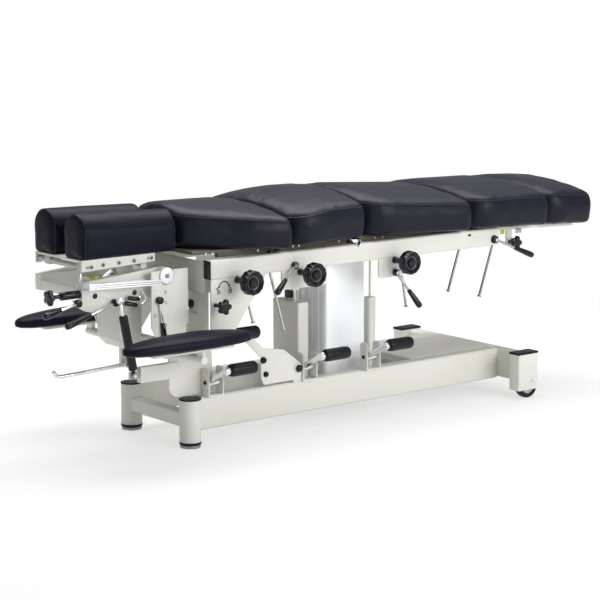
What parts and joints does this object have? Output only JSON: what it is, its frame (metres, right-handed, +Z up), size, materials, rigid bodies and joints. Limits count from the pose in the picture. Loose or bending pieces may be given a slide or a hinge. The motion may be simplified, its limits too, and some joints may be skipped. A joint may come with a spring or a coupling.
{
  "type": "chiropractic table",
  "caption": "Chiropractic treatment table with a split headpiece, drop sections, armrests, pedals and a lifting column on a wheeled base",
  "frame": {"origin": "on the floor, under the middle of the table's bounding box", "axes": "+X from the head end to the foot end, +Y to the far side, away from the hand controls, +Z up"},
  "size_m": [2.0936, 0.704, 0.7304],
  "materials": {
    "powder_coat": "pale warm grey powder coat",
    "upholstery": "black synthetic leather over foam",
    "black_plastic": "satin black",
    "black_rubber": "matt black",
    "chrome": "polished",
    "aluminium": "satin",
    "black_steel": "black paint"
  },
  "bodies": {
    "base": {"base_rail_near": "powder_coat", "base_rail_far": "powder_coat", "base_head_beam": "powder_coat", "base_foot_beam": "powder_coat", "base_column_plate": "powder_coat", "foot_near": "powder_coat", "foot_far": "powder_coat", "column_outer": "aluminium", "actuator_housing": "powder_coat"},
    "wheel_near": {"wheel_near": "black_rubber"},
    "wheel_far": {"wheel_far": "black_rubber"},
    "pedal_a": {"pedal_a": "chrome", "pedal_pad_a": "black_rubber"},
    "pedal_b": {"pedal_b": "chrome", "pedal_pad_b": "black_rubber"},
    "pedal_c": {"pedal_c": "chrome", "pedal_pad_c": "black_rubber"},
    "drive_b": {"drive_plate_b": "powder_coat"},
    "lift": {"side_rail_near": "powder_coat", "side_rail_far": "powder_coat", "crossmember_head": "powder_coat", "crossmember_column": "powder_coat", "crossmember_foot": "powder_coat", "column_inner": "aluminium", "leg_cushion": "upholstery", "neck_bracket": "powder_coat"},
    "chest_section": {"chest_cushion": "upholstery", "chest_drop_frame": "black_steel"},
    "lumbar_section": {"lumbar_cushion": "upholstery", "lumbar_drop_frame": "black_steel"},
    "pelvic_section": {"pelvic_cushion": "upholstery", "pelvic_drop_frame": "black_steel"},
    "ankle_section": {"ankle_cushion": "upholstery", "ankle_slide_frame": "powder_coat"},
    "knob_foot": {"star_knob_foot": "black_plastic"},
    "knob_frame": {"star_knob_frame": "black_plastic"},
    "knob_head": {"star_knob_head": "black_plastic"},
    "handwheel_chest": {"handwheel_chest": "black_plastic"},
    "handwheel_lumbar": {"handwheel_lumbar": "black_plastic"},
    "handwheel_pelvic": {"handwheel_pelvic": "black_plastic"},
    "lever_chest": {"lever_chest": "black_plastic"},
    "lever_pelvic": {"lever_pelvic": "black_plastic"},
    "lever_foot": {"lever_foot": "black_plastic"},
    "rod_chest": {"hanging_rod_chest": "chrome"},
    "rod_lumbar": {"hanging_rod_lumbar": "chrome"},
    "rod_pelvic": {"hanging_rod_pelvic": "chrome"},
    "strut_body": {"gas_strut_body": "black_steel"},
    "strut_rod": {"gas_strut_rod": "chrome"},
    "head_arm": {"head_arm": "powder_coat"},
    "head_carriage": {"head_carriage": "powder_coat"},
    "head_cushion_near": {"head_cushion_near": "upholstery"},
    "head_cushion_far": {"head_cushion_far": "upholstery"},
    "head_lever_1": {"head_lever_1": "black_plastic"},
    "head_lever_2": {"head_lever_2": "black_plastic"},
    "neck_lever": {"neck_lever": "black_plastic"},
    "foot_lever": {"head_foot_lever": "chrome"},
    "armrest_near": {"armrest_arm_near": "powder_coat", "armrest_pad_near": "upholstery"},
    "armrest_far": {"armrest_arm_far": "powder_coat", "armrest_pad_far": "upholstery"}
  },
  "joints": [
    {"name": "lift", "type": "slide", "parent": "base", "child": "lift", "axis": [0, 0, 1], "range_m": [0, 0.2]},
    {"name": "wheel_near_roll", "type": "hinge", "parent": "base", "child": "wheel_near", "pos_m": [0.7205, -0.288, 0.0405], "axis": [0, 1, 0], "continuous": true},
    {"name": "wheel_far_roll", "type": "hinge", "parent": "base", "child": "wheel_far", "pos_m": [0.7205, 0.288, 0.0405], "axis": [0, 1, 0], "continuous": true},
    {"name": "pedal_a_press", "type": "hinge", "parent": "base", "child": "pedal_a", "pos_m": [-0.474, -0.172, 0.192], "axis": [1, 0, 0], "range_deg": [0, 15], "stiffness_Nm_per_rad": 12, "springref_deg": -8.59},
    {"name": "drive_b_tilt", "type": "hinge", "parent": "base", "child": "drive_b", "pos_m": [-0.1586, -0.186, 0.194], "axis": [0, 1, 0], "range_deg": [0, 3], "stiffness_Nm_per_rad": 30, "springref_deg": -22.92},
    {"name": "pedal_b_press", "type": "hinge", "parent": "base", "child": "pedal_b", "pos_m": [-0.1145, -0.172, 0.192], "axis": [1, 0, 0], "range_deg": [0, 15]},
    {"name": "pedal_c_press", "type": "hinge", "parent": "base", "child": "pedal_c", "pos_m": [0.143, -0.172, 0.192], "axis": [1, 0, 0], "range_deg": [0, 15], "stiffness_Nm_per_rad": 12, "springref_deg": -8.59},
    {"name": "chest_drop", "type": "hinge", "parent": "lift", "child": "chest_section", "pos_m": [-0.2595, 0, 0.55976], "axis": [0, -1, 0], "range_deg": [0, 2.3]},
    {"name": "lumbar_drop", "type": "hinge", "parent": "lift", "child": "lumbar_section", "pos_m": [0.0495, 0, 0.5616], "axis": [0, -1, 0], "range_deg": [0, 2.4]},
    {"name": "pelvic_drop", "type": "hinge", "parent": "lift", "child": "pelvic_section", "pos_m": [0.4715, 0, 0.55057], "axis": [0, -1, 0], "range_deg": [0, 1.7]},
    {"name": "ankle_slide", "type": "slide", "parent": "lift", "child": "ankle_section", "axis": [0.9993, 0, -0.0361], "range_m": [0, 0.09]},
    {"name": "knob_foot_turn", "type": "hinge", "parent": "ankle_section", "child": "knob_foot", "pos_m": [0.735, -0.1843, 0.504], "axis": [0, 1, 0], "continuous": true},
    {"name": "knob_frame_turn", "type": "hinge", "parent": "lift", "child": "knob_frame", "pos_m": [-0.4985, -0.2203, 0.432], "axis": [0, 1, 0], "continuous": true},
    {"name": "handwheel_chest_turn", "type": "hinge", "parent": "lift", "child": "handwheel_chest", "pos_m": [-0.4175, -0.2203, 0.499], "axis": [0, 1, 0], "continuous": true},
    {"name": "handwheel_lumbar_turn", "type": "hinge", "parent": "lift", "child": "handwheel_lumbar", "pos_m": [-0.1805, -0.2203, 0.499], "axis": [0, 1, 0], "continuous": true},
    {"name": "handwheel_pelvic_turn", "type": "hinge", "parent": "lift", "child": "handwheel_pelvic", "pos_m": [0.1995, -0.2203, 0.499], "axis": [0, 1, 0], "continuous": true},
    {"name": "lever_chest_turn", "type": "hinge", "parent": "lift", "child": "lever_chest", "pos_m": [-0.2035, -0.2203, 0.522], "axis": [0, 1, 0], "range_deg": [-30, 40]},
    {"name": "lever_pelvic_turn", "type": "hinge", "parent": "lift", "child": "lever_pelvic", "pos_m": [0.2015, -0.2203, 0.46], "axis": [0, 1, 0], "range_deg": [-30, 30]},
    {"name": "lever_foot_turn", "type": "hinge", "parent": "lift", "child": "lever_foot", "pos_m": [0.63, -0.2203, 0.526], "axis": [0, 1, 0], "range_deg": [0, 40]},
    {"name": "rod_chest_lift", "type": "slide", "parent": "lift", "child": "rod_chest", "axis": [-0.2785, 0, 0.9604], "range_m": [0, 0.015]},
    {"name": "rod_lumbar_lift", "type": "slide", "parent": "lift", "child": "rod_lumbar", "axis": [-0.2838, 0, 0.9589], "range_m": [0, 0.015]},
    {"name": "rod_pelvic_lift", "type": "slide", "parent": "lift", "child": "rod_pelvic", "axis": [-0.1762, 0, 0.9844], "range_m": [0, 0.015]},
    {"name": "head_tilt", "type": "hinge", "parent": "lift", "child": "head_arm", "pos_m": [-0.6255, 0, 0.5235], "axis": [0, 1, 0], "range_deg": [-10, 4]},
    {"name": "strut_swing", "type": "hinge", "parent": "lift", "child": "strut_body", "pos_m": [-0.7425, -0.1543, 0.241], "axis": [0, 1, 0], "range_deg": [-0.5, 2.5]},
    {"name": "strut_stroke", "type": "slide", "parent": "strut_body", "child": "strut_rod", "axis": [-0.1953, 0, 0.9807], "range_m": [-0.03, 0.0125]},
    {"name": "head_drop", "type": "hinge", "parent": "head_arm", "child": "head_carriage", "pos_m": [-0.668, 0, 0.556], "axis": [0, -1, 0], "range_deg": [0, 2.9]},
    {"name": "head_cushion_near_spread", "type": "slide", "parent": "head_carriage", "child": "head_cushion_near", "axis": [0, -1, 0], "range_m": [-0.015, 0.025]},
    {"name": "head_cushion_far_spread", "type": "slide", "parent": "head_carriage", "child": "head_cushion_far", "axis": [0, 1, 0], "range_m": [-0.015, 0.025]},
    {"name": "head_lever_1_turn", "type": "hinge", "parent": "head_arm", "child": "head_lever_1", "pos_m": [-0.915, -0.1265, 0.47], "axis": [0, 1, 0], "range_deg": [-10, 25]},
    {"name": "head_lever_2_turn", "type": "hinge", "parent": "head_arm", "child": "head_lever_2", "pos_m": [-0.79, -0.1265, 0.459], "axis": [0, 1, 0], "range_deg": [-10, 25]},
    {"name": "knob_head_turn", "type": "hinge", "parent": "head_arm", "child": "knob_head", "pos_m": [-0.8975, -0.11, 0.492], "axis": [1, 0, 0], "continuous": true},
    {"name": "neck_lever_turn", "type": "hinge", "parent": "lift", "child": "neck_lever", "pos_m": [-0.655, -0.1563, 0.455], "axis": [0, 1, 0], "range_deg": [0, 25]},
    {"name": "foot_lever_press", "type": "hinge", "parent": "lift", "child": "foot_lever", "pos_m": [-0.6755, 0, 0.246], "axis": [0, -1, 0], "range_deg": [0, 8], "stiffness_Nm_per_rad": 8, "springref_deg": -8.59},
    {"name": "armrest_near_tilt", "type": "hinge", "parent": "lift", "child": "armrest_near", "pos_m": [-0.6, -0.29, 0.293], "axis": [0, 1, 0], "range_deg": [-8, 15]},
    {"name": "armrest_far_tilt", "type": "hinge", "parent": "lift", "child": "armrest_far", "pos_m": [-0.6, 0.29, 0.293], "axis": [0, 1, 0], "range_deg": [-8, 15]}
  ],
  "couplings": [
    {"joint": "pedal_b_press", "follows": "drive_b_tilt", "ratio": 4.99},
    {"joint": "rod_chest_lift", "follows": "drive_b_tilt", "m_per_rad": 0.2387},
    {"joint": "strut_stroke", "follows": "head_tilt", "m_per_rad": 0.17},
    {"joint": "head_cushion_far_spread", "follows": "head_cushion_near_spread", "ratio": 1}
  ]
}
